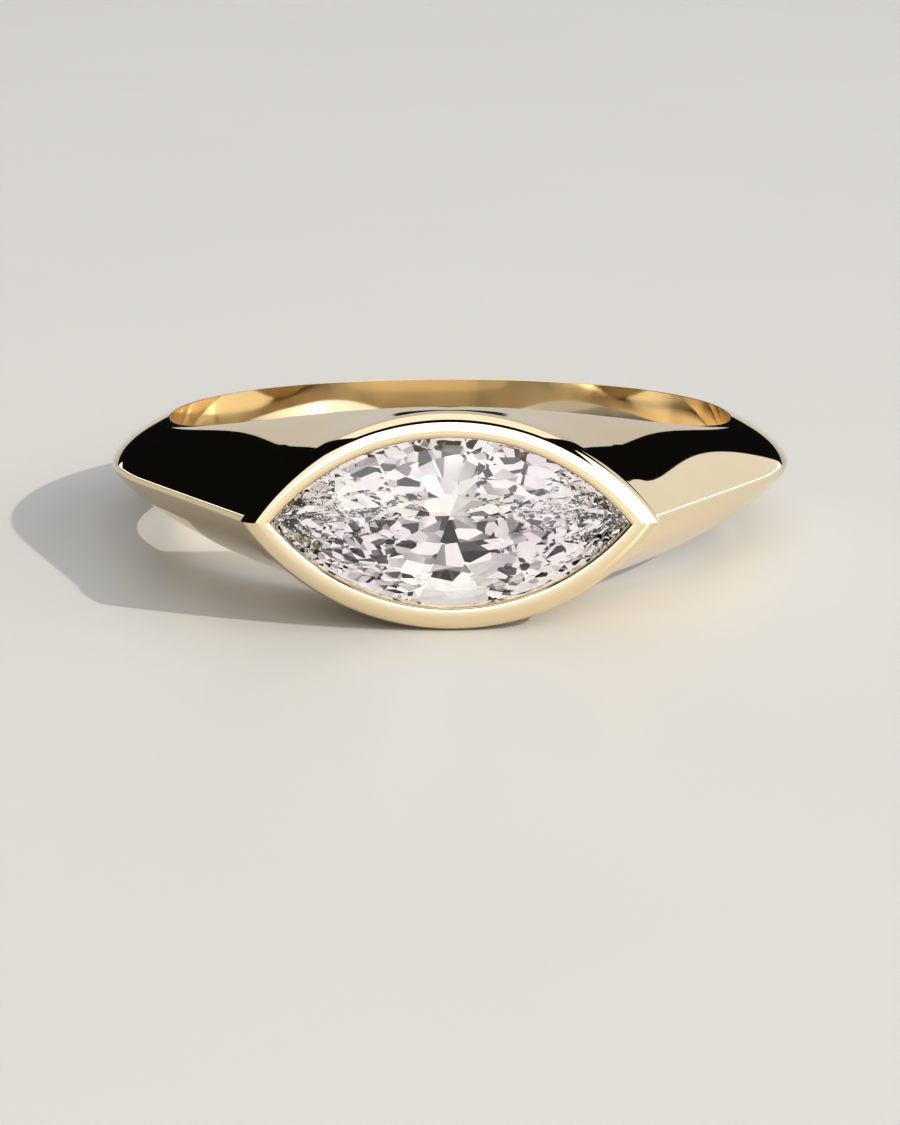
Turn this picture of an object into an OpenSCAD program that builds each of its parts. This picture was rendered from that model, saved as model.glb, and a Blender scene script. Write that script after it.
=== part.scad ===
// Knife-edge ring with one marquise stone set lengthwise along the band.
// The ring rests on its side: the finger hole's axis points up, and the
// setting looks towards -Y. Millimetres, +Z up, floor at z = 0.

/* [Finger hole] */
// Diameter of the finger hole
finger_d = 17; // [16.6:0.1:17.4]
// Width of the soft edge where the band's faces meet the finger hole
soft_edge = 0.05; // [0.04:0.01:0.08]

/* [Band] */
// Width of the band along the finger, at the back and the sides
band_w = 2.62; // [2.4:0.02:2.9]
// Thickness of the band from the finger hole to its ridge
band_t = 1.78; // [1.6:0.02:2]
// Width of the head along the finger, measured on the finger hole
head_w = 5.4; // [5.2:0.05:5.6]
// How quickly the shoulders narrow from the head to the band
swell_power = 2.5; // [2.2:0.1:2.8]
// Radius that rounds the knife edge
ridge_r = 0.28; // [0.22:0.02:0.34]
// Slope of the faces where they leave the finger hole, on the band
face_slope = 18; // [14:1:22]
// Slope of the faces where they reach the ridge
ridge_slope = 58; // [54:1:62]

/* [Setting] */
// Distance from the finger hole's axis to the front of the setting
head_reach = 12.1; // [12:0.05:12.3]
// Length of the opening that shows the stone
opening_l = 9.68; // [9.5:0.02:9.8]
// Width of the opening that shows the stone
opening_w = 4.62; // [4.5:0.02:4.7]
// Thickness of the wall round the stone
wall_t = 0.69; // [0.64:0.01:0.74]
// Radius of the wall's outer rounding
outer_r = 0.52; // [0.46:0.01:0.54]
// Radius of the wall's inner rounding
inner_r = 0.14; // [0.08:0.01:0.16]
// Depth of the lip in front of the stone's girdle
lip_depth = 0.53; // [0.48:0.01:0.56]

/* [Stone] */
// How far the wall's lip covers the stone
lip_cover = 0.13; // [0.1:0.01:0.15]
// Height of the crown above the girdle
crown_h = 0.6; // [0.55:0.01:0.62]
// Depth of the pavilion below the girdle
pavilion_h = 2.2; // [2.1:0.02:2.22]
// Thickness of the girdle
girdle_h = 0.12; // [0.08:0.01:0.14]

/* [Hidden] */
$fn = 96;

gold = [0.93, 0.78, 0.50];
ice = [0.93, 0.94, 0.96, 0.7];
far_out = 40;
slab_side = 24;

bore_r = finger_d / 2;
band_r = bore_r + band_t;
band_half = band_w / 2;
head_half = head_w / 2;

// The opening's outline is two arcs that cross at the tips. Every outline of
// the setting and the stone shares their centres and has a radius of its own.
half_l = opening_l / 2;
half_w = opening_w / 2;
opening_r = (half_l ^ 2 + half_w ^ 2) / (2 * half_w);
arc_offset = opening_r - half_w;
wall_r = opening_r + wall_t;
stone_r = opening_r + lip_cover;
stone_l = sqrt(stone_r ^ 2 - arc_offset ^ 2);
stone_gap = 0.03;

// Depths below the front of the setting. The girdle stands clear of the lip
// above its steepest crown facet and of the ledge below its steepest
// pavilion facet.
steepest_crown = 38.9;
steepest_pavilion = 45.2;
ledge_w = 0.35;
seam_depth = 0.5;
collar_depth = 0.62;
girdle_depth = lip_depth + lip_cover * tan(steepest_crown) + stone_gap;
ledge_depth = girdle_depth + girdle_h + ledge_w * tan(steepest_pavilion) + stone_gap;
cup_depth = 2.05;
cup_r = stone_r - ledge_w;
well_depth = 3.14;
well_half_w = 1.3;
well_r = arc_offset + well_half_w;
overlap = 0.1;

// The head ends under the wall on an arc as high as the head, flatter than the
// wall's own, so that the wall stands up over the middle. The shoulders are
// straight in plan from the tips to the band.
head_end = head_reach - seam_depth;
tip_inset = 0.06;
head_tip = sqrt(wall_r ^ 2 - arc_offset ^ 2) - tip_inset;
head_arc_r = (head_tip ^ 2 + head_half ^ 2) / (2 * head_half);
head_arc_offset = head_arc_r - head_half;
tip_z = ridge_r * cos(ridge_slope);
tip_x = sqrt(head_arc_r ^ 2 - (head_arc_offset + tip_z) ^ 2);
tip_angle = atan2(tip_x, head_end);
tip_rho = norm([tip_x, head_end]) + ridge_r * (1 - sin(ridge_slope));
meet_angle = tip_angle + acos(band_r / tip_rho);

// The lofted front half of the band
head_steps = 7;
shoulder_steps = 15;
face_steps = 7;
round_steps = 2;

// The ring lies on the setting's lower edge and on the band's back rim
front_y = -(head_reach - outer_r);
front_z = -(wall_r - arc_offset - outer_r);
back_y = bore_r + soft_edge;
back_z = -band_half;
rest_span = back_y - front_y;
rest_drop = front_z - back_z;
tilt = asin(outer_r / norm([rest_span, rest_drop])) - atan2(rest_drop, rest_span);
lift = back_y * sin(tilt) - back_z * cos(tilt);
box_front = front_y * cos(tilt) + front_z * sin(tilt) - outer_r;
box_back = (band_r - ridge_r) * cos(tilt) + ridge_r;
centre_y = -(box_front + box_back) / 2;

module at_rest() {
  translate([0, centre_y, lift])
    rotate([-tilt, 0, 0])
      children();
}

// Half height of the band on the finger hole, at an angle from the head
function rim_half(a) = band_half
  + (head_half - band_half) * max(0, cos(a)) ^ swell_power;

// Distance from the axis to the ridge, at an angle from the head
function ridge_rho(a) = a < meet_angle ? band_r / cos(meet_angle - a) : band_r;

function mix(p, q, t) = p + (q - p) * t;

function curve(a, b, c, d, t) = mix(
  mix(mix(a, b, t), mix(b, c, t), t),
  mix(mix(b, c, t), mix(c, d, t), t), t);

// Where the face of a section ends: on the ridge's rounding, or, in front of
// the tips, on the outline of the setting
function face_end(a) = a < tip_angle
  ? [head_end / cos(a), sqrt(head_arc_r ^ 2 - (head_end * tan(a)) ^ 2) - head_arc_offset]
  : [ridge_rho(a) - ridge_r * (1 - sin(ridge_slope)), tip_z];

function eased(t) = t < 0 ? 0 : t > 1 ? 1 : t * t * (3 - 2 * t);

function end_slope(a) = ridge_slope * eased(a / tip_angle);

function start_slope(a) = face_slope * sin(min(a, 90));

// How far a face keeps the slope of its ends, as a share of its width
start_pull = 1 / 3;
head_pull = 0.2;
band_pull = 0.29;
pull_from = 30;
pull_to = 55;

function end_pull(a) =
  mix(head_pull, band_pull, eased((a - pull_from) / (pull_to - pull_from)));

function face_points(a) =
  let (start = [bore_r + soft_edge, rim_half(a)],
       end = face_end(a),
       width = norm(end - start),
       s = start_slope(a),
       e = end_slope(a),
       out = start + start_pull * width * [cos(s), -sin(s)],
       back = end - end_pull(a) * width * [cos(e), -sin(e)])
  [for (i = [0:face_steps]) curve(start, out, back, end, i / face_steps)];

function round_points(a) = a < tip_angle
  ? [for (i = [1:round_steps]) let (p = face_end(a))
      [p.x, p.y * (1 - i / round_steps)]]
  : [for (i = [1:round_steps])
      let (turn = (90 - ridge_slope) * (1 - i / round_steps))
      [ridge_rho(a) - ridge_r + ridge_r * cos(turn), ridge_r * sin(turn)]];

// One section of the band, from inside the finger hole over the upper face
// to the ridge and back under the lower face
function section(a) =
  let (start = [bore_r - soft_edge, rim_half(a) - 2 * soft_edge],
       upper = concat([start], face_points(a), round_points(a)),
       n = len(upper))
  concat(upper, [for (i = [n - 2:-1:0]) [upper[i].x, -upper[i].y]]);

function placed(p, a) = [p.x * sin(a), -p.x * cos(a), p.y];

module front_half() {
  right = concat([for (i = [1:head_steps]) tip_angle * i / head_steps],
    [for (i = [1:shoulder_steps]) mix(tip_angle, 90, i / shoulder_steps)]);
  left = [for (i = [len(right) - 1:-1:0]) -right[i]];
  rows = [for (a = concat(left, [0], right))
    [for (p = section(abs(a))) placed(p, a)]];
  n = len(rows[0]);
  last = len(rows) - 1;
  points = [for (row = rows) each row];
  sides = [for (i = [0:last - 1], j = [0:n - 1])
    let (k = (j + 1) % n)
    each [[i * n + k, i * n + j, (i + 1) * n + j],
          [i * n + k, (i + 1) * n + j, (i + 1) * n + k]]];
  first_cap = [for (j = [0:n - 1]) j];
  last_cap = [for (j = [n - 1:-1:0]) last * n + j];
  polyhedron(points, concat(sides, [first_cap, last_cap]));
}

module back_half() {
  rotate_extrude(angle = 180)
    polygon(section(90));
}

// A disc round one arc's centre, from its outline of [radius, depth] points
module arc_disc(side) {
  translate([0, -head_reach, -side * arc_offset])
    rotate([-90, 0, 0])
      rotate_extrude()
        children();
}

// What both discs of an outline share has the marquise shape
module marquise(depth_from, depth_to, radius) {
  intersection_for(side = [-1, 1])
    arc_disc(side)
      translate([0, depth_from])
        square([radius, depth_to - depth_from]);
}

module collar_outline() {
  difference() {
    square([wall_r, collar_depth]);
    difference() {
      translate([wall_r - outer_r, -overlap])
        square([outer_r + overlap, outer_r + overlap]);
      translate([wall_r - outer_r, outer_r])
        circle(outer_r);
    }
  }
}

module opening_outline() {
  difference() {
    translate([0, -overlap])
      square([opening_r + inner_r, overlap + inner_r]);
    translate([opening_r + inner_r, inner_r])
      circle(inner_r);
  }
  square([opening_r, lip_depth + overlap]);
}

module setting_wall() {
  intersection_for(side = [-1, 1])
    arc_disc(side)
      collar_outline();
}

module stone_seat() {
  intersection_for(side = [-1, 1])
    arc_disc(side)
      opening_outline();
  marquise(lip_depth, ledge_depth, stone_r + stone_gap);
  marquise(ledge_depth - overlap, cup_depth, cup_r);
  marquise(cup_depth - overlap, well_depth, well_r);
}

module gold_ring() {
  color(gold)
    at_rest()
      difference() {
        union() {
          front_half();
          back_half();
          setting_wall();
        }
        cylinder(h = far_out, r = bore_r, center = true);
        stone_seat();
      }
}

// The stone's own axes: table towards +Z, length along X, girdle top at z = 0
module slab_above(point, turn, slope) {
  translate(point)
    rotate([0, 0, turn])
      rotate([0, slope, 0])
        translate([-slab_side / 2, -slab_side / 2, 0])
          cube([slab_side, slab_side, slab_side / 4]);
}

// A point of the girdle where the outline faces the direction turn
function girdle_point(turn, z) = let (side = sign(sin(turn)), t = abs(sin(turn)))
  abs(cos(turn)) * stone_r > stone_l
    ? [sign(cos(turn)) * stone_l, 0, z]
    : [stone_r * cos(turn), side * (stone_r * t - arc_offset), z];

// Rows of facets of one quarter, mirrored to the others. The directions of a
// row go down in equal steps. A facet's plane passes the girdle point of its
// direction at the row's start, above or below the girdle. Slope 0 stands for
// a main facet, which runs to the culet.
crown_rows = [
  // first direction, step, number, slope, start
  [90, 7, 8, 38.2, 0],
  [86.5, 7, 7, 34, 0.05],
  [90, 14, 4, 28, 0.13],
  [83, 14, 4, 19, 0.3],
  [0, 0, 1, 17, 0.03]
];
pavilion_rows = [
  // first direction, step, number, slope, start
  [89, 5, 10, 44.5, 0],
  [86, 5, 9, 42.5, 0.03],
  [90, 10, 3, 0, 0.08],
  [62, 6, 4, 39.5, 0.06]
];

function main_slope(turn, start) = atan((pavilion_h - start) / (stone_r - arc_offset * sin(turn)));

// Facets as direction, slope and start
function facets(rows) = [for (row = rows, i = [0:row[2] - 1])
  let (turn = row[0] - i * row[1], start = row[4])
  [turn, row[3] == 0 ? main_slope(turn, start) : row[3], start]];

crown_facets = facets(crown_rows);
pavilion_facets = facets(pavilion_rows);

function mirrored(turn) = turn == 90 ? [90, -90]
  : turn == 0 ? [0, 180]
  : [turn, -turn, 180 - turn, turn - 180];

module marquise_stone() {
  color(ice)
    at_rest()
      translate([0, -(head_reach - girdle_depth), 0])
        rotate([90, 0, 0])
          cut_stone();
}

// The outline as a blank, before any facet is cut
module stone_blank() {
  intersection_for(side = [-1, 1])
    translate([0, -side * arc_offset, -girdle_h - pavilion_h])
      cylinder(h = pavilion_h + girdle_h + crown_h, r = stone_r);
}

module crown_cut(facet) {
  for (turn = mirrored(facet[0]))
    slab_above(girdle_point(turn, facet[2]), turn, facet[1]);
}

// The pavilion is cut like a crown that looks down from the girdle
module pavilion_cut(facet) {
  translate([0, 0, -girdle_h])
    mirror([0, 0, 1])
      crown_cut(facet);
}

// The crown's facets are cut one after another, each with its mirrored copies
module with_crown(count) {
  if (count == 0)
    stone_blank();
  else
    difference() {
      with_crown(count - 1);
      crown_cut(crown_facets[count - 1]);
    }
}

module with_pavilion(count) {
  if (count == 0)
    with_crown(len(crown_facets));
  else
    difference() {
      with_pavilion(count - 1);
      pavilion_cut(pavilion_facets[count - 1]);
    }
}

module cut_stone() {
  with_pavilion(len(pavilion_facets));
}

gold_ring();
marquise_stone();
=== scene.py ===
# %% [markdown]
# # A marquise ring in polished gold
#
# The real ring is two things: a piece of gold, cast and filed to a band with a
# knife edge whose head swells up to a wall, and a cut stone that the wall's lip
# holds. This lesson makes the gold in two meshes that meet in the crease beside
# the wall, and cuts the stone facet by facet. The solids that the pieces stand
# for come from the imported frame, which is loaded first and is never changed.

import math

import bpy
from mathutils import Matrix, Vector


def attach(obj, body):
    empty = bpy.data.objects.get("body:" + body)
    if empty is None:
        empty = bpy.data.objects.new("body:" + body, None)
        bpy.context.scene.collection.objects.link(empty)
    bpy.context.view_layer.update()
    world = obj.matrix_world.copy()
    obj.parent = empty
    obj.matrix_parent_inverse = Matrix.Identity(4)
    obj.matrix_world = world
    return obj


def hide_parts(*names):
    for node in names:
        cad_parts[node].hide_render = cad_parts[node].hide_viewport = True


MM = 0.001


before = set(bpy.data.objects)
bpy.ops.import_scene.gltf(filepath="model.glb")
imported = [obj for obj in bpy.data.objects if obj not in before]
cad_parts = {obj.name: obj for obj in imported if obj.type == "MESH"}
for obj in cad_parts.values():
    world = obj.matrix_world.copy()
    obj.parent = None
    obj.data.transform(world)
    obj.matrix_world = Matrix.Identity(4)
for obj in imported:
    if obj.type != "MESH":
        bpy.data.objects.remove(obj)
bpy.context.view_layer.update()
print("frame nodes:", sorted(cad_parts))

# %% [markdown]
# Every operator in Blender acts on what is selected, and a file that was just
# imported is selected all over. So the first helper selects one piece and
# nothing else, and every step starts with it. The second one goes into edit
# mode, where the mesh tools work, with all or none of the mesh picked.

# %% Helpers for picking
def only(piece):
    """Makes piece the one selected and active object."""
    if bpy.context.mode != "OBJECT":
        bpy.ops.object.mode_set(mode="OBJECT")
    bpy.ops.object.select_all(action="DESELECT")
    piece.select_set(True)
    bpy.context.view_layer.objects.active = piece


def edit(piece, kind="VERT", pick="SELECT"):
    """Opens piece in edit mode."""
    only(piece)
    bpy.ops.object.mode_set(mode="EDIT")
    bpy.ops.mesh.select_mode(type=kind)
    bpy.ops.mesh.select_all(action=pick)


def named(name):
    """Gives the piece that was just added its name."""
    piece = bpy.context.active_object
    piece.name = name
    piece.data.name = name
    return piece


def apply_modifier(piece, kind, **values):
    """Adds a modifier, sets its values and applies it."""
    only(piece)
    modifier = piece.modifiers.new(kind.lower(), kind)
    for key, value in values.items():
        setattr(modifier, key, value)
    bpy.ops.object.modifier_apply(modifier=modifier.name)


def report(piece):
    """Prints what a step made."""
    size = [round(v, 5) for v in piece.dimensions]
    print(f"{piece.name}: {len(piece.data.polygons)} faces, size {size}")


# %% [markdown]
# The ring's own axes are easy to think in: the finger hole's axis is Z, the
# setting looks towards -Y, and the unit is the millimetre. All pieces are made
# in these axes. One matrix then lays them down as the ring lies on a table: on
# the setting's lower edge and the band's back rim, a little tipped, in metres.

# %% Sizes of the band in millimetres, and how the ring lies
BORE_R = 8.5  # radius of the finger hole
SOFT_EDGE = 0.05  # round between the hole and the face
BAND_HALF = 1.31  # half the band's width behind the head
BAND_R = 10.28  # radius of the ridge
HEAD_HALF = 2.7  # half the head's width
SWELL_POWER = 2.5  # the higher, the closer to the head the band swells
RIDGE_R = 0.28  # round of the knife edge
FACE_SLOPE = math.radians(18)  # of the face beside the hole, from the sides to the back
RIDGE_SLOPE = math.radians(58)  # of the face beside the ridge
HEAD_REACH = 12.1  # from the axis to the wall's top
WALL_T = 0.69  # thickness of the wall
OUTER_R = 0.52  # outer round of the wall's top
INNER_R = 0.14  # inner round of the wall's top
HALF_L = 4.84  # half the opening's length
HALF_W = 2.31  # half the opening's width
OPENING_R = (HALF_L**2 + HALF_W**2) / (2 * HALF_W)
ARC_OFFSET = OPENING_R - HALF_W
WALL_R = OPENING_R + WALL_T

front = Vector((0, -(HEAD_REACH - OUTER_R), -(WALL_R - ARC_OFFSET - OUTER_R)))
back = Vector((0, BORE_R + SOFT_EDGE, -BAND_HALF))
reach = back - front
TILT = math.asin(OUTER_R / reach.length) + math.atan2(reach.z, reach.y)
LIFT = back.y * math.sin(TILT) - back.z * math.cos(TILT)
FRONT_Y = front.y * math.cos(TILT) + front.z * math.sin(TILT) - OUTER_R
BACK_Y = (BAND_R - RIDGE_R) * math.cos(TILT) + RIDGE_R
CENTRE_Y = -(FRONT_Y + BACK_Y) / 2
LAID = (
    Matrix.Scale(MM, 4)
    @ Matrix.Translation((0, CENTRE_Y, LIFT))
    @ Matrix.Rotation(-TILT, 4, "X")
)
print("tilt in degrees:", round(math.degrees(TILT), 3), "lift in mm:", round(LIFT, 3))


def lay_down(piece, first=Matrix.Identity(4)):
    """Puts a piece where it lies, in the mesh itself, so its object stays at the origin."""
    only(piece)
    piece.matrix_world = LAID @ first
    bpy.ops.object.transform_apply(location=True, rotation=True, scale=True)
    report(piece)


# %% [markdown]
# ## The band
#
# On the real ring the band is narrow at the back and swells to the head. In
# front the head ends in a flat of its own outline, a little inside the wall's,
# and the wall stands on it. Beside the head's tips the ridge runs straight, off
# the tips and onto the round of the band. Those few sizes drive everything else.

# %% How the band's size changes round the finger
SEAM_DEPTH = 0.5  # from the wall's top down to the flat that it stands on
TIP_INSET = 0.06  # how far the flat's tips stay inside the wall's
head_end = HEAD_REACH - SEAM_DEPTH
head_tip = math.sqrt(WALL_R**2 - ARC_OFFSET**2) - TIP_INSET
head_arc_r = (head_tip**2 + HEAD_HALF**2) / (2 * HEAD_HALF)
head_arc_offset = head_arc_r - HEAD_HALF
tip_z = RIDGE_R * math.cos(RIDGE_SLOPE)
tip_x = math.sqrt(head_arc_r**2 - (head_arc_offset + tip_z) ** 2)
tip_angle = math.atan2(tip_x, head_end)
tip_rho = math.hypot(tip_x, head_end) + RIDGE_R * (1 - math.sin(RIDGE_SLOPE))
meet_angle = tip_angle + math.acos(BAND_R / tip_rho)
print("the shoulders run straight from", round(math.degrees(tip_angle), 1), "to",
      round(math.degrees(meet_angle), 1), "degrees off the head")


def rim_half(angle):
    """Half the band's width on the finger hole, at an angle from the head."""
    return BAND_HALF + (HEAD_HALF - BAND_HALF) * max(0.0, math.cos(angle)) ** SWELL_POWER


def ridge_rho(angle):
    """Distance of the ridge from the axis."""
    return BAND_R / math.cos(meet_angle - angle) if angle < meet_angle else BAND_R


# %% [markdown]
# The section has four stretches: half of the finger hole's wall, a small soft
# edge, the face as one smooth curve, and the rounded knife edge. In front of
# the tips the last stretch is flat instead, hidden under the wall. The curve is
# a Bezier one, because it takes a slope at both of its ends.

# %% The face's curve
FACE_STEPS = 22
START_PULL = 1 / 3  # how far the face keeps its slope at the hole, as a share of its width
HEAD_PULL = 0.2  # the same at its other end, on the head
BAND_PULL = 0.29  # and on the band
PULL_FROM = 30  # degrees off the head where the one starts to pass into the other
PULL_OVER = 25  # degrees that it takes


def eased(t):
    """0 below 0, 1 above 1, and a soft step between."""
    t = min(1, max(0, t))
    return t * t * (3 - 2 * t)


def end_pull(angle):
    """How far a face keeps the ridge's slope, as a share of its width."""
    step = eased((math.degrees(angle) - PULL_FROM) / PULL_OVER)
    return HEAD_PULL + (BAND_PULL - HEAD_PULL) * step


def bezier(a, b, c, d, t):
    """A point of a cubic curve."""
    return a * (1 - t) ** 3 + b * 3 * t * (1 - t) ** 2 + c * 3 * t * t * (1 - t) + d * t**3


def rim_point(angle):
    """Where the face starts, beside the soft edge of the finger hole."""
    return Vector((BORE_R + SOFT_EDGE, rim_half(angle)))


def rim_slope(angle):
    """The face's slope at its start, in radians."""
    return FACE_SLOPE * math.sin(min(angle, math.pi / 2))


def end_point(angle):
    """Where the face ends, at the wall or at the rounded ridge."""
    if angle < tip_angle:
        x = head_end * math.tan(angle)
        y = math.sqrt(head_arc_r**2 - x * x) - head_arc_offset
        return Vector((head_end / math.cos(angle), y))
    return Vector((ridge_rho(angle) - RIDGE_R * (1 - math.sin(RIDGE_SLOPE)), tip_z))


def raw_face(angle):
    """The face's curve from its far end to the rim."""
    start, end = rim_point(angle), end_point(angle)
    width = (end - start).length
    rise = rim_slope(angle)
    fall = RIDGE_SLOPE * eased(angle / tip_angle)
    near_start = start + START_PULL * width * Vector((math.cos(rise), -math.sin(rise)))
    near_end = end - end_pull(angle) * width * Vector((math.cos(fall), -math.sin(fall)))
    return [bezier(end, near_end, near_start, start, i / FACE_STEPS) for i in range(FACE_STEPS)]


# %% [markdown]
# At the head's tips the face stops ending on the wall and starts ending on the
# ridge, and polished gold would show that as a kink in every reflection. A
# goldsmith files such a place fair. Here each curve is averaged with those of
# the rows nearby, near ones counting most, but not at its two ends.

# %% Fair the face
FAIR_STEPS = 4  # curves on each side
FAIR_STEP = math.radians(1.6)  # from one curve to the next
END_FADE = 0.2  # share of the curve that leads from each fixed end to the full average


def faired_face(angle):
    """The face's curve, averaged over the rows nearby."""
    near = []
    for i in range(-FAIR_STEPS, FAIR_STEPS + 1):
        near.append((FAIR_STEPS + 1 - abs(i), raw_face(abs(angle + i * FAIR_STEP))))
    total = sum(weight for weight, curve in near)
    face = []
    for j, own in enumerate(raw_face(angle)):
        t = j / FACE_STEPS
        mean = sum((weight * curve[j] for weight, curve in near), Vector((0, 0))) / total
        face.append(own.lerp(mean, eased(t / END_FADE) * eased((1 - t) / END_FADE)))
    return face


# %% The whole section
HOLE_STEPS = 8
EDGE_STEPS = 5
ROUND_STEPS = 7


def far_end(angle):
    """The rounded knife edge, or the flat under the wall."""
    if angle < tip_angle:
        end = end_point(angle)
        return [Vector((end.x, end.y * i / ROUND_STEPS)) for i in range(ROUND_STEPS)]
    turns = [(math.pi / 2 - RIDGE_SLOPE) * i / ROUND_STEPS for i in range(ROUND_STEPS)]
    centre = ridge_rho(angle) - RIDGE_R
    return [Vector((centre + RIDGE_R * math.cos(t), RIDGE_R * math.sin(t))) for t in turns]


def soft_edge(start, rise):
    """The small round from the face's start to the finger hole's wall."""
    centre = start - SOFT_EDGE * Vector((math.sin(rise), math.cos(rise)))
    edge = []
    for i in range(EDGE_STEPS + 1):
        t = (math.pi / 2 - rise) * i / EDGE_STEPS + rise
        edge.append(centre + SOFT_EDGE * Vector((math.sin(2 * rise - t), math.cos(t - 2 * rise))))
    shift = BORE_R - edge[-1].x
    return [Vector((p.x + shift * i / EDGE_STEPS, p.y)) for i, p in enumerate(edge)]


def half_section(angle):
    """Points (distance from the axis, height) from the ridge to the middle of the hole's wall."""
    edge = soft_edge(rim_point(angle), rim_slope(angle))
    top = edge[-1].y
    wall = [Vector((BORE_R, top * (1 - i / HOLE_STEPS))) for i in range(1, HOLE_STEPS + 1)]
    return far_end(angle) + faired_face(angle) + edge + wall


half_count = len(half_section(math.pi))
print("points in half a section:", half_count)

# %% [markdown]
# A band with one section all round could be spun. This one grows from the back
# to the head, so a torus is the better start: it has the right topology, rows
# round the finger and columns round the section. Each row is then put on the
# section that the band has at that angle.

# %% The torus that becomes the band
HEAD_ROWS = 36  # from the head's middle to a tip
SIDE_ROWS = 92  # from a tip to the back
TUBE_R = 1  # any will do, as every point is moved next


def row_angles():
    """The angle of each row, all round, with a row exactly at each tip of the head."""
    head = [tip_angle * i / HEAD_ROWS for i in range(HEAD_ROWS)]
    side = [tip_angle + (math.pi - tip_angle) * i / SIDE_ROWS for i in range(SIDE_ROWS + 1)]
    right = head + side
    return right + [-a for a in reversed(right[1:-1])]


angles = row_angles()
columns = 2 * half_count - 2
bpy.ops.mesh.primitive_torus_add(
    major_segments=len(angles), minor_segments=columns, major_radius=BAND_R - TUBE_R,
    minor_radius=TUBE_R,
)
band = named("gold_band")
report(band)

# %% Put each row on its section
for i, angle in enumerate(angles):
    upper = half_section(abs(angle))
    loop = upper + [Vector((p.x, -p.y)) for p in reversed(upper[1:-1])]
    for j, p in enumerate(loop):
        place = (p.x * math.sin(angle), -p.x * math.cos(angle), p.y)
        band.data.vertices[i * columns + j].co = place
band.data.update()
report(band)

# %% [markdown]
# ## The seat
#
# A setter drills and files the seat: a pocket as wide as the stone down to a
# ledge, a narrower cup below it for the pavilion, and a closed well for its point.
# The marquise outline is two arcs of one radius that cross at the tips. So a
# round stepped plug about one arc's axis is cut at the middle plane and
# mirrored, and this plug is taken out of the band by a boolean.

# %% The setting's own axes: Z is the depth axis and looks forward, Y is the ring's Z
SETTING = Matrix.Translation((0, -HEAD_REACH, 0)) @ Matrix.Rotation(math.pi / 2, 4, "X")
ARC_CENTRE = (0, -ARC_OFFSET, 0)
CUT_LIMIT = 1e-6  # points this near a cutting plane lie on it
MIRROR_LIMIT = 1e-4  # points this near their mirror image are merged


def to_marquise(piece):
    """Keeps the half of a round mesh beyond the middle plane and mirrors it."""
    edit(piece)
    bpy.ops.mesh.bisect(
        plane_co=(0, 0, 0), plane_no=(0, 1, 0), clear_inner=True, use_fill=False,
        threshold=CUT_LIMIT,
    )
    apply_modifier(piece, "MIRROR", use_axis=(False, True, False), merge_threshold=MIRROR_LIMIT)


# %% Sizes of the seat and the stone's place in it
LIP_DEPTH = 0.53  # height of the wall
LIP_COVER = 0.13  # how far the lip covers the stone
STONE_GAP = 0.03  # air between the stone and its seat
GIRDLE_H = 0.12  # height of the stone's girdle
LEDGE_W = 0.35  # width of the ledge under the stone
CUP_DEPTH = 2.05  # floor of the cup below the wall's top
WELL_HALF_W = 1.3  # half the width of the well
WELL_DEPTH = 3.14  # floor of the well below the wall's top
SEAT_TOP_SLOPE = math.radians(38.9)  # crown that there is room for under the lip
SEAT_FOOT_SLOPE = math.radians(45.2)  # pavilion that there is room for above the ledge
WELL_R = ARC_OFFSET + WELL_HALF_W
STONE_R = OPENING_R + LIP_COVER
SEAT_R = STONE_R + STONE_GAP
GIRDLE_DEPTH = LIP_DEPTH + LIP_COVER * math.tan(SEAT_TOP_SLOPE) + STONE_GAP
LEDGE_DEPTH = GIRDLE_DEPTH + GIRDLE_H + LEDGE_W * math.tan(SEAT_FOOT_SLOPE) + STONE_GAP
print("girdle and ledge in mm below the wall's top:", round(GIRDLE_DEPTH, 3), round(LEDGE_DEPTH, 3))

# %% The stepped plug: the drop to each level, and the radius of the next step
STEPS_ROUND = 512  # on the full circle
PLUG_TOP = -0.2  # below the wall's top, in the air before the band's flat
levels = [
    (LEDGE_DEPTH + PLUG_TOP, STONE_R - LEDGE_W),
    (CUP_DEPTH - LEDGE_DEPTH, WELL_R),
    (WELL_DEPTH - CUP_DEPTH, None),
]
bpy.ops.mesh.primitive_circle_add(
    vertices=STEPS_ROUND, radius=SEAT_R, fill_type="NGON", location=(0, -ARC_OFFSET, PLUG_TOP)
)
plug = named("seat_plug")
bpy.ops.object.transform_apply(location=True)
edit(plug, "FACE")
radius = SEAT_R
for drop, next_r in levels:
    bpy.ops.mesh.extrude_region_move(TRANSFORM_OT_translate={"value": (0, 0, -drop)})
    if next_r:
        bpy.ops.mesh.extrude_region_move(TRANSFORM_OT_translate={"value": (0, 0, 0)})
        share = next_r / radius
        bpy.ops.transform.resize(value=(share, share, 1), center_override=ARC_CENTRE)
        radius = next_r
bpy.ops.mesh.select_all(action="SELECT")
bpy.ops.mesh.normals_make_consistent(inside=False)
to_marquise(plug)
report(plug)

# %% [markdown]
# Polished metal shows every flaw in its shading. So the gold is shaded smooth
# only between faces that meet at a small angle, and its normals follow the large
# faces, which keeps the flats flat up to their small round edges.

# %% Take the plug out of the band
SHARP_FROM = math.radians(28)  # faces that meet at more than this keep a sharp edge
LARGE_FACE_WEIGHT = 60  # above 50 the large faces count more


def shade_metal(piece):
    """Smooth shading that keeps the sharp edges."""
    only(piece)
    bpy.ops.object.shade_smooth_by_angle(angle=SHARP_FROM)
    apply_modifier(
        piece, "WEIGHTED_NORMAL", mode="FACE_AREA", weight=LARGE_FACE_WEIGHT, keep_sharp=True
    )


plug.matrix_world = SETTING
bpy.context.view_layer.update()
apply_modifier(band, "BOOLEAN", object=plug, operation="DIFFERENCE", solver="EXACT")
bpy.data.objects.remove(plug)
shade_metal(band)
lay_down(band)

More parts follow.
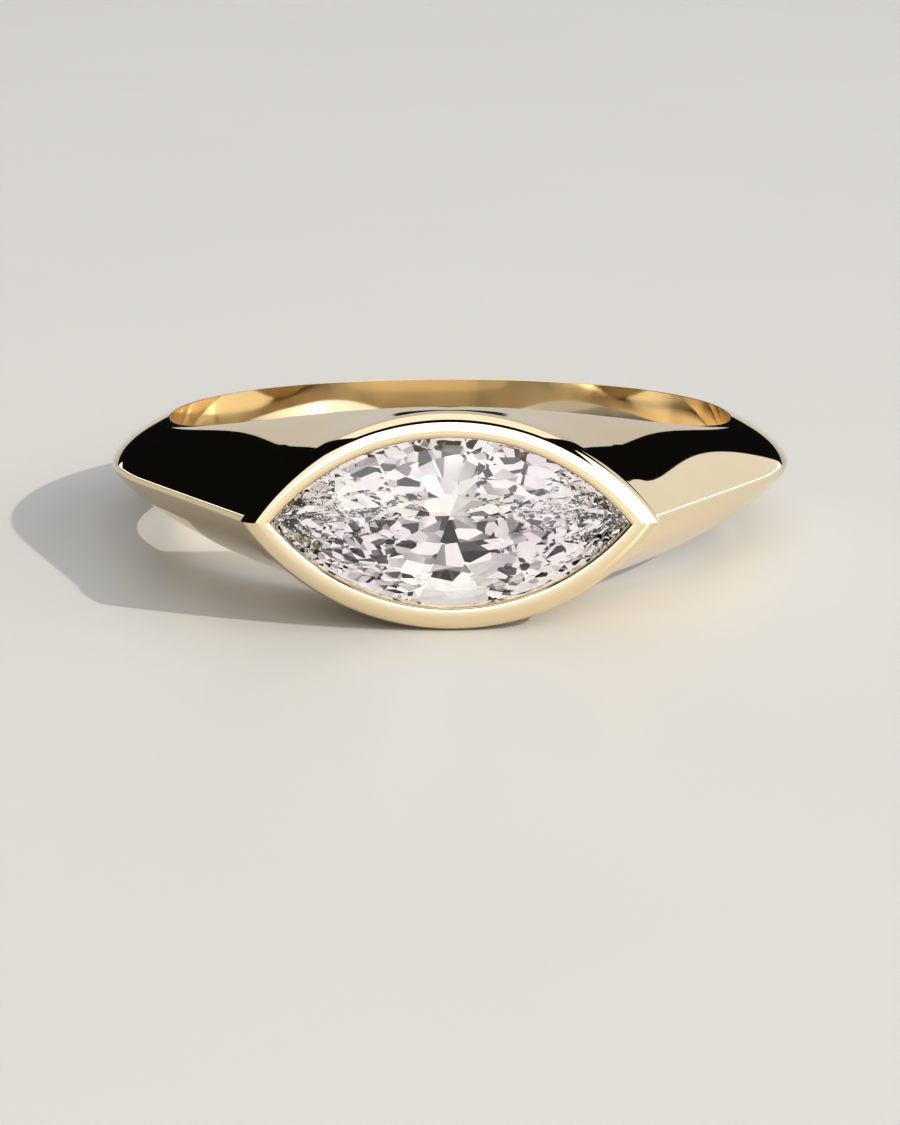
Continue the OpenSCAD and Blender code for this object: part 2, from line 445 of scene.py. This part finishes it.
# %% [markdown]
# ## The wall round the stone
#
# On the real ring the wall is a strip bent round the stone, mitred at the tips
# and burnished over the crown, which leaves a soft dome with a small inner
# radius. Its profile is a plane with two bevelled corners, spun about one arc's
# axis. Cutting it at the middle plane and mirroring it gives the sharp mitre.
# The cut leaves a few points almost in one place there, which are merged.

# %% The wall's profile
OUTER_SEGMENTS = 16
INNER_SEGMENTS = 8
bpy.ops.mesh.primitive_plane_add(size=1, rotation=(math.pi / 2, 0, 0))
bezel = named("gold_bezel")
bezel.scale = (WALL_T, LIP_DEPTH, 1)
bezel.location = (OPENING_R + WALL_T / 2, -ARC_OFFSET, -LIP_DEPTH / 2)
bpy.ops.object.transform_apply(location=True, rotation=True, scale=True)


def bevel_corner(piece, x, z, radius, segments):
    """Rounds the profile's corner nearest to (x, z)."""
    edit(piece, "VERT", "DESELECT")
    bpy.ops.object.mode_set(mode="OBJECT")
    near = min(piece.data.vertices, key=lambda v: abs(v.co.x - x) + abs(v.co.z - z))
    near.select = True
    bpy.ops.object.mode_set(mode="EDIT")
    bpy.ops.mesh.bevel(offset=radius, segments=segments, affect="VERTICES")


bevel_corner(bezel, WALL_R, 0, OUTER_R, OUTER_SEGMENTS)
bevel_corner(bezel, OPENING_R, 0, INNER_R, INNER_SEGMENTS)
report(bezel)

# %% Spin it, mitre it and mirror it
SPIN_STEPS = 720
SPIN_LIMIT = 1e-5  # merges the spin's last row with its first
TIP_LIMIT = 1e-3  # merges what the cut leaves at the tips
edit(bezel, "FACE")
bpy.ops.mesh.delete(type="ONLY_FACE")
edit(bezel)
bpy.ops.mesh.spin(
    steps=SPIN_STEPS, angle=2 * math.pi, center=ARC_CENTRE, axis=(0, 0, 1), use_auto_merge=True
)
bpy.ops.mesh.select_all(action="SELECT")
bpy.ops.mesh.remove_doubles(threshold=SPIN_LIMIT)
bpy.ops.mesh.normals_make_consistent(inside=False)
to_marquise(bezel)
edit(bezel)
bpy.ops.mesh.remove_doubles(threshold=TIP_LIMIT)
shade_metal(bezel)
lay_down(bezel, SETTING)

# %% [markdown]
# ## The stone
#
# A cutter starts from a blank with the outline of the stone and grinds one flat
# facet after another. The mesh is made the same way: a blank of the marquise
# outline, and for every facet one bisect that clears what is outside its plane
# and fills the cut. The tables below hold one quarter, mirrored to the others.
# A small wobble of each facet, as hand cutting leaves it, keeps the four
# quarters from flashing together.

# %% The blank
CROWN_H = 0.6  # from the girdle up to the table
PAVILION_H = 2.2  # from the girdle down to the culet
STONE_L = math.sqrt(STONE_R**2 - ARC_OFFSET**2)
bpy.ops.mesh.primitive_cylinder_add(
    vertices=STEPS_ROUND, radius=STONE_R, depth=CROWN_H + GIRDLE_H + PAVILION_H,
    location=(0, -ARC_OFFSET, (CROWN_H - GIRDLE_H - PAVILION_H) / 2),
)
stone = named("marquise_diamond")
bpy.ops.object.transform_apply(location=True)
to_marquise(stone)
report(stone)

# %% The facets in rows, one row on a line
# First direction, step, number, slope in degrees, start above or below the girdle.
# No slope: the facet runs through the culet.
CROWN = [
    (90, -7, 8, 27, 0),
    (86.5, -7, 7, 23, 0.04),
    (90, -14, 4, 18, 0.11),
    (83, -14, 4, 11, 0.25),
    (0, 1, 1, 12, 0.03),
]
PAVILION = [
    (89, -4, 14, 45, 0),
    (87, -5, 12, 43, 0.04),
    (90, -16, 2, None, 0.08),
    (50, -12, 3, 36, 0.3),
    (82, -6, 9, 41, 0.16),
    (88, -7, 8, 38, 0.4),
    (64, -6, 5, 39.5, 0.06),
]
print("rows of facets:", len(CROWN), "above and", len(PAVILION), "below the girdle")

# %% Where each facet lies
WOBBLE = 0.7  # degrees
TURN_BEAT = 2.3  # how fast the wobble of the directions runs from facet to facet
SLOPE_BEAT = 5.1  # the same for the slopes


def quarters(turn):
    """The directions of a facet and of its mirrored copies, in degrees."""
    return sorted({turn % 360, -turn % 360, (180 - turn) % 360, (180 + turn) % 360})


def girdle_point(turn):
    """The point of the stone's outline that faces a direction in radians."""
    x, y = math.cos(turn), math.sin(turn)
    if abs(x) * STONE_R > STONE_L:
        return Vector((math.copysign(STONE_L, x), 0, 0))
    return Vector((STONE_R * x, math.copysign(STONE_R * abs(y) - ARC_OFFSET, y), 0))


def facet_plane(degrees, side, base, slope, start, count):
    """A point and the normal of one facet, with the wobble that its number gives it."""
    turn = math.radians(degrees + WOBBLE * math.sin(TURN_BEAT * count))
    point = girdle_point(turn) + Vector((0, 0, base + side * start))
    if slope is None:
        span = point.x * math.cos(turn) + point.y * math.sin(turn)
        tip = math.atan2(PAVILION_H - start, span)
    else:
        tip = math.radians(slope + WOBBLE * math.sin(SLOPE_BEAT * count))
    flat = math.sin(tip)
    return point, (flat * math.cos(turn), flat * math.sin(turn), side * math.cos(tip))


# %% Grind the facets
MIRROR_BELOW = 0.1  # faces that look forward less than this get the mirror finish
edit(stone)
count = 0
for rows, side, base in ((CROWN, 1, 0), (PAVILION, -1, -GIRDLE_H)):
    for first, step, number, slope, start in rows:
        for degrees in [turn for i in range(number) for turn in quarters(first + i * step)]:
            count += 1
            point, normal = facet_plane(degrees, side, base, slope, start, count)
            bpy.ops.mesh.select_all(action="SELECT")
            bpy.ops.mesh.bisect(
                plane_co=point, plane_no=normal, clear_outer=True, use_fill=True,
                threshold=CUT_LIMIT,
            )
print("facets cut:", count)
only(stone)
bpy.ops.object.shade_flat()
for face in stone.data.polygons:
    face.material_index = int(face.normal.z < MIRROR_BELOW)
lay_down(stone, SETTING @ Matrix.Translation((0, 0, -GIRDLE_DEPTH)))

# %% [markdown]
# ## Finishes
#
# Polished gold is a mirror with a warm tint. A perfect one looks dead, so a
# weak noise in object space varies the polish and the tint, as wiping and wear
# do. The crown is clear glass with the refraction of diamond. Light that comes
# down on the facets below meets them so flatly that they throw all of it back,
# over and over, so they and the girdle have a mirror finish: it gives the same
# broken light as total reflection and doesn't show the gold behind.
#
# All finishes share one effect, a tint that changes in soft patches. It is a
# node group, built once and placed in each material with its own values.

# %% The patchy tint as a node group
def link(tree, *pairs):
    """Joins outputs to inputs."""
    for source, target in pairs:
        tree.links.new(source, target)


def patchy_tint():
    """A noise that is spread between two colours, from one level of it to another."""
    group = bpy.data.node_groups.new("patchy_tint", "ShaderNodeTree")
    for name, kind in (
        ("Vector", "Vector"), ("Scale", "Float"), ("Detail", "Float"), ("Start", "Float"),
        ("End", "Float"), ("Low", "Color"), ("High", "Color"),
    ):
        group.interface.new_socket(name, in_out="INPUT", socket_type=f"NodeSocket{kind}")
    for name, kind in (("Color", "Color"), ("Noise", "Float")):
        group.interface.new_socket(name, in_out="OUTPUT", socket_type=f"NodeSocket{kind}")
    given = group.nodes.new("NodeGroupInput").outputs
    result = group.nodes.new("NodeGroupOutput").inputs
    noise = group.nodes.new("ShaderNodeTexNoise")
    level = group.nodes.new("ShaderNodeMapRange")
    mix = group.nodes.new("ShaderNodeMix")
    mix.data_type = "RGBA"
    link(
        group,
        (given["Vector"], noise.inputs["Vector"]),
        (given["Scale"], noise.inputs["Scale"]),
        (given["Detail"], noise.inputs["Detail"]),
        (noise.outputs["Fac"], level.inputs["Value"]),
        (given["Start"], level.inputs["From Min"]),
        (given["End"], level.inputs["From Max"]),
        (level.outputs["Result"], mix.inputs["Factor"]),
        (given["Low"], mix.inputs["A"]),
        (given["High"], mix.inputs["B"]),
        (mix.outputs["Result"], result["Color"]),
        (noise.outputs["Fac"], result["Noise"]),
    )
    return group


PATCHY_TINT = patchy_tint()
print("sockets of the group:", [item.name for item in PATCHY_TINT.interface.items_tree])

# %% Helpers for materials
def patches(tree, space, place=(0, 0, 0), start=0.35, end=0.65, **values):
    """Places the group in a tree, on the coordinates of one space, with its own values."""
    coordinates = tree.nodes.new("ShaderNodeTexCoord")
    mapping = tree.nodes.new("ShaderNodeMapping")
    mapping.inputs["Location"].default_value = place
    node = tree.nodes.new("ShaderNodeGroup")
    node.node_tree = PATCHY_TINT
    for key, value in dict(values, Start=start, End=end).items():
        node.inputs[key].default_value = value
    link(
        tree,
        (coordinates.outputs[space], mapping.inputs["Vector"]),
        (mapping.outputs["Vector"], node.inputs["Vector"]),
    )
    return node


def finish(name, tint, roughness_range=None, **numbers):
    """A material with a patchy tint, and numbers for the shader's own sockets."""
    made = bpy.data.materials.new(name)
    made.use_nodes = True
    tree = made.node_tree
    shader = tree.nodes["Principled BSDF"]
    for key, value in numbers.items():
        shader.inputs[key.replace("_", " ")].default_value = value
    patch = patches(tree, "Object", **tint)
    link(tree, (patch.outputs["Color"], shader.inputs["Base Color"]))
    if roughness_range:
        polish = tree.nodes.new("ShaderNodeMapRange")
        polish.inputs["To Min"].default_value = roughness_range[0]
        polish.inputs["To Max"].default_value = roughness_range[1]
        link(
            tree,
            (patch.outputs["Noise"], polish.inputs["Value"]),
            (polish.outputs["Result"], shader.inputs["Roughness"]),
        )
    print(name, "has", len(tree.nodes), "nodes")
    return made


# %% Gold
gold = finish(
    "polished_gold",
    dict(Scale=260, Detail=4, Low=(0.89, 0.73, 0.475, 1), High=(0.91, 0.75, 0.505, 1)),
    roughness_range=(0.015, 0.05), Metallic=1,
)

# %% The stone's crown and its pavilion
diamond = finish(
    "clear_diamond",
    dict(Scale=300, Detail=2, Low=(0.97, 0.962, 0.965, 1), High=(1, 0.99, 0.99, 1)),
    Transmission_Weight=1, IOR=2.42, Specular_Tint=(0.4, 0.4, 0.4, 1), Roughness=0,
)
mirror = finish(
    "pavilion_mirror",
    dict(
        Scale=300, Detail=2, Low=(0.982, 0.975, 0.972, 1), High=(0.94, 0.9, 0.965, 1),
        start=0.67, end=0.74,
    ),
    Metallic=1, Roughness=0,
)
for piece, finishes in ((band, [gold]), (bezel, [gold]), (stone, [diamond, mirror])):
    while piece.data.materials:
        piece.data.materials.pop()
    for material in finishes:
        piece.data.materials.append(material)
print("materials:", gold.name, diamond.name, mirror.name)

# %% [markdown]
# Each piece takes the place of a solid in the frame. The band and the wall are
# one piece of gold there, so both stand for it. Nothing on a ring moves, so all
# of it belongs to one body.

for piece, node, slot in (
    (band, "gold_ring", "gold"), (bezel, "gold_ring", "gold"), (stone, "marquise_stone", "diamond")
):
    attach(piece, "root")
    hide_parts(node)

# %% [markdown]
# ## The studio
#
# A plain pale floor, slightly glossy, soft boxes and a camera. In a mirror the
# boxes are the picture: the dark gaps between them make the black shapes on
# the shoulders, and their edges the lines along the wall. Two low strips draw
# the thin bright line along the knife edge on both sides.

# %% Floor
FLOOR_SIZE = 6
bpy.ops.mesh.primitive_plane_add(size=FLOOR_SIZE)
floor = named("floor")
paper = finish(
    "pale_floor",
    dict(Scale=40, Detail=3, Low=(0.495, 0.49, 0.476, 1), High=(0.505, 0.5, 0.486, 1)),
    Roughness=0.35, Specular_IOR_Level=0.35,
)
floor.data.materials.append(paper)

# %% [markdown]
# Where a card has to hang follows from the picture. The camera's ray meets the
# polished gold and is thrown back by its slope. Where the picture is bright, the
# ray has to meet a card next, and where it is black, it has to miss them all.

# %% Helpers for lights, in metres
def placed(name, data):
    """Adds an object with this light or camera to the scene."""
    thing = bpy.data.objects.new(name, data)
    bpy.context.scene.collection.objects.link(thing)
    return thing


def light_card(name, centre, facing, across, width, height, radiance, colour=(1, 1, 1)):
    """A rectangular light that looks along facing, with its width along across."""
    data = bpy.data.lights.new(name, "AREA")
    data.shape = "RECTANGLE"
    data.size, data.size_y = width, height
    data.energy = radiance * math.pi * width * height
    data.color = colour
    z = -Vector(facing).normalized()
    x = Vector(across).normalized()
    turn = Matrix((x, z.cross(x), z)).transposed().to_4x4()
    light = placed(name, data)
    light.matrix_world = Matrix.Translation(centre) @ turn
    print(name, "at", [round(v, 3) for v in light.location])


# %% Boxes and a skirt in front
FRONT_RISE = math.radians(33)
FRONT_FAR = 0.6
FRONT_HEIGHT = 0.56
front_facing = (0, math.cos(FRONT_RISE), -math.sin(FRONT_RISE))
for name, x, width, radiance in (
    ("front_box", 0.225, 0.95, 2.3), ("front_box_end", -0.33, 0.16, 1.15)
):
    centre = (x, -FRONT_FAR * math.cos(FRONT_RISE), FRONT_FAR * math.sin(FRONT_RISE))
    light_card(name, centre, front_facing, (1, 0, 0), width, FRONT_HEIGHT, radiance)
light_card(
    "front_skirt", centre=(0.16, -0.66, 0.05), facing=(0, 1, 0), across=(1, 0, 0),
    width=1.08, height=0.1, radiance=1.02, colour=(1, 0.98, 0.86),
)

# %% Cards and strips at the sides
STRIP_X = 0.69
light_card(
    "right_wall", centre=(0.7, -0.175, 0.45), facing=(-1, 0, 0), across=(0, 0.94, 0.34),
    width=0.85, height=0.79, radiance=2.3,
)
light_card(
    "right_back_card", centre=(0.7, 0.747, 0.208), facing=(-1, 0, 0), across=(0, 0.7, -0.71),
    width=1.1, height=0.7, radiance=0.85,
)
for name, side in (("left_strip", -1), ("right_strip", 1)):
    light_card(
        name, centre=(STRIP_X * side, 0.55, 0.06), facing=(-side, 0, 0), across=(0, 1, 0),
        width=1.5, height=0.05, radiance=2,
    )

# %% The ceiling, and the panel that goes on behind it
CEILING_FALL = 0.32
CEILING_HEIGHT = 0.7
CEILING_WIDTH = 0.75
ceiling_slope = math.atan(CEILING_FALL)
ceiling_facing = (0, -math.sin(ceiling_slope), -math.cos(ceiling_slope))
for name, start_y, end_y, radiance in (
    ("ceiling", -0.1745, 0.447, 1.17), ("back_panel", 0.455, 1.75, 0.62)
):
    middle = (start_y + end_y) / 2
    light_card(
        name, (0, middle, CEILING_HEIGHT - CEILING_FALL * middle), ceiling_facing, (1, 0, 0),
        width=CEILING_WIDTH, height=(end_y - start_y) / math.cos(ceiling_slope), radiance=radiance,
    )

# %% The sun, which casts the ring's shadow to the left
SUN_DIRECTION = Vector((-1.4, 0.85, -1))
sun = bpy.data.lights.new("key_sun", "SUN")
sun.energy = 3.2
sun.angle = math.radians(1)
sun.color = (1, 0.94, 0.82)
placed("key_sun", sun).rotation_euler = SUN_DIRECTION.to_track_quat("-Z", "Y").to_euler()

# %% [markdown]
# A stone lives on a patchy room with light and dark in it. So what leaves the
# stone sees a clouded dome instead of the boxes, and the gold sees the dark
# room between the boxes. The world's shader picks by the kind of ray, and the
# lights and the gold are left out of what is seen through the stone. Light goes
# up and down in the stone many times, so the scene allows more bounces.

# %% The dome and the dark room
DARK_ROOM = (0.004, 0.004, 0.004, 1)
MOST_BOUNCES = 24
MOST_GLOSSY = 20
world = bpy.data.worlds.new("studio")
world.use_nodes = True
tree = world.node_tree
dome = patches(
    tree, "Generated", place=(1, 2, 3), start=0.43, end=0.55,
    Scale=10, Detail=2, Low=(0.01, 0.009, 0.01, 1), High=(1.02, 0.965, 0.95, 1),
)
path = tree.nodes.new("ShaderNodeLightPath")
pick = tree.nodes.new("ShaderNodeMix")
pick.data_type = "RGBA"
pick.inputs["A"].default_value = DARK_ROOM
link(
    tree,
    (path.outputs["Is Transmission Ray"], pick.inputs["Factor"]),
    (dome.outputs["Color"], pick.inputs["B"]),
    (pick.outputs["Result"], tree.nodes["Background"].inputs["Color"]),
)
bpy.context.scene.world = world
for thing in [light for light in bpy.data.objects if light.type == "LIGHT"] + [band, bezel]:
    thing.visible_transmission = False
bpy.context.scene.cycles.max_bounces = MOST_BOUNCES
bpy.context.scene.cycles.glossy_bounces = MOST_GLOSSY
print("world:", world.name, "with", len(tree.nodes), "nodes")

# %% [markdown]
# The camera looks from ten centimetres away through a long lens, as for a close
# product picture. Its angle to the ring is the photograph's, so the angle by
# which the ring is tipped is added to it. It aims at a point in front of the
# ring, which puts the ring a little above the picture's middle.

# %% Camera at the photograph's angle
CAMERA_DISTANCE = 100  # from the ring's own centre
CAMERA_ELEVATION = math.radians(8.602)  # above the ring's middle plane
CAMERA_DIP = math.radians(10.46)  # how far it looks down from that plane
LENS = 104.52
data = bpy.data.cameras.new("camera")
data.lens = LENS
data.sensor_width = 36
data.clip_start = MM
camera = placed("camera", data)
far = CAMERA_DISTANCE * math.cos(CAMERA_ELEVATION)
camera.location = LAID @ Vector((0, -far, CAMERA_DISTANCE * math.sin(CAMERA_ELEVATION)))
camera.rotation_euler = (math.pi / 2 - CAMERA_DIP - TILT, 0, 0)
bpy.context.scene.camera = camera
bpy.context.scene.view_settings.view_transform = "Standard"
elevation = round(math.degrees(CAMERA_ELEVATION + TILT), 2)
print("camera", [round(v, 4) for v in camera.location], "elevation", elevation)
